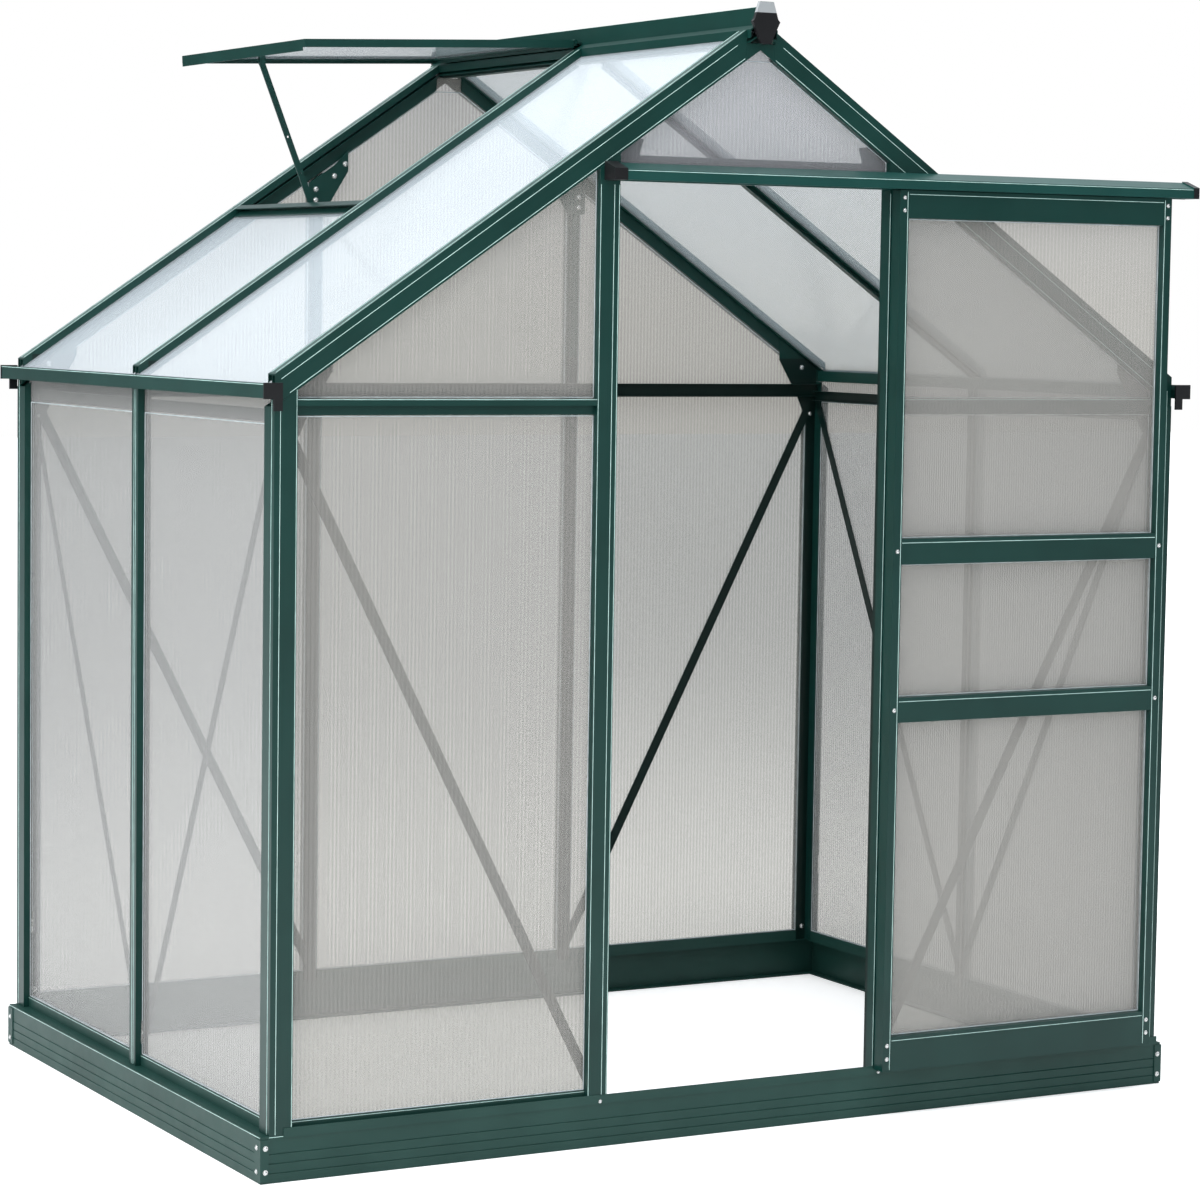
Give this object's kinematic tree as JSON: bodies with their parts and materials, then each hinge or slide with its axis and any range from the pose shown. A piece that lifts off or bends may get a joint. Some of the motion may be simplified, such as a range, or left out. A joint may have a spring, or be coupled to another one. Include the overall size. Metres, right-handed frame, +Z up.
{
  "type": "polycarbonate greenhouse",
  "caption": "Small gabled greenhouse with a green aluminium frame on a base, twin-wall sheets, a sliding door and a roof vent propped open on a stay.",
  "frame": {"origin": "middle of the front base rail's foot, on the ground", "axes": "+X to the right along the front, +Y to the back, +Z up"},
  "size_m": [1.906, 1.3208, 2.0178],
  "materials": {
    "green_coat": "aluminium with a dark green satin powder coat",
    "polycarbonate": "clear twin-wall sheet",
    "black_plastic": "moulded, satin"
  },
  "bodies": {
    "frame": {"base_front_rail": "green_coat", "base_left_rail": "green_coat", "base_rear_rail": "green_coat", "base_right_rail": "green_coat", "corner_post_front_left": "green_coat", "corner_post_front_right": "green_coat", "corner_post_rear_left": "green_coat", "corner_post_rear_right": "green_coat", "door_jamb_left": "green_coat", "door_jamb_right": "green_coat", "door_track": "green_coat", "front_rail_left": "green_coat", "front_rail_right": "green_coat", "gable_rafter_front_left": "green_coat", "gable_rafter_front_right": "green_coat", "gable_rafter_rear_left": "green_coat", "gable_rafter_rear_right": "green_coat", "gutter_left": "green_coat", "gutter_right": "green_coat", "rear_rail": "green_coat", "rear_stud_left": "green_coat", "rear_stud_right": "green_coat", "ridge_beam": "green_coat", "ridge_cap_front": "black_plastic", "ridge_cap_rear": "black_plastic", "roof_bar_left": "green_coat", "roof_bar_right": "green_coat", "sheet_front_left": "polycarbonate", "sheet_front_right": "polycarbonate", "sheet_gable_front": "polycarbonate", "sheet_left_front": "polycarbonate", "sheet_left_rear": "polycarbonate", "sheet_rear_left": "polycarbonate", "sheet_rear_middle": "polycarbonate", "sheet_rear_right": "polycarbonate", "sheet_right_front": "polycarbonate", "sheet_right_rear": "polycarbonate", "sheet_roof_left_front": "polycarbonate", "sheet_roof_left_rear": "polycarbonate", "sheet_roof_right_front": "polycarbonate", "sheet_roof_right_rear": "polycarbonate", "side_bar_left": "green_coat", "side_bar_right": "green_coat", "side_rail_left": "green_coat", "side_rail_right": "green_coat", "vent_sill": "green_coat"},
    "door": {"door_bottom_rail": "green_coat", "door_lower_rail": "green_coat", "door_pane_bottom": "polycarbonate", "door_pane_middle": "polycarbonate", "door_pane_top": "polycarbonate", "door_stile_left": "green_coat", "door_stile_right": "green_coat", "door_top_rail": "green_coat", "door_upper_rail": "green_coat"},
    "roller_left": {"door_roller_left": "black_plastic"},
    "roller_right": {"door_roller_right": "black_plastic"},
    "vent": {"vent_frame": "green_coat", "vent_pane": "polycarbonate"},
    "stay": {"vent_stay": "green_coat"}
  },
  "joints": [
    {"name": "door_slide", "type": "slide", "parent": "frame", "child": "door", "axis": [-1, 0, 0], "range_m": [0, 0.585]},
    {"name": "roller_left_spin", "type": "hinge", "parent": "door", "child": "roller_left", "pos_m": [0.341, -0.0277, 1.71078], "axis": [0, -1, 0], "range_deg": [0, 4500]},
    {"name": "roller_right_spin", "type": "hinge", "parent": "door", "child": "roller_right", "pos_m": [0.829, -0.0277, 1.71078], "axis": [0, -1, 0], "range_deg": [0, 4500]},
    {"name": "vent_hinge", "type": "hinge", "parent": "frame", "child": "vent", "pos_m": [-0.03, 0.6205, 1.98105], "axis": [0, -1, 0], "range_deg": [0, 31.5]},
    {"name": "stay_pivot", "type": "hinge", "parent": "vent", "child": "stay", "pos_m": [-0.55876, 0.9055, 1.93194], "axis": [0, -1, 0], "range_deg": [0, 56.7]}
  ],
  "couplings": [
    {"joint": "roller_left_spin", "follows": "door_slide", "rad_per_m": 133.33},
    {"joint": "roller_right_spin", "follows": "door_slide", "rad_per_m": 133.33},
    {"joint": "stay_pivot", "follows": "vent_hinge", "ratio": 1.8}
  ]
}
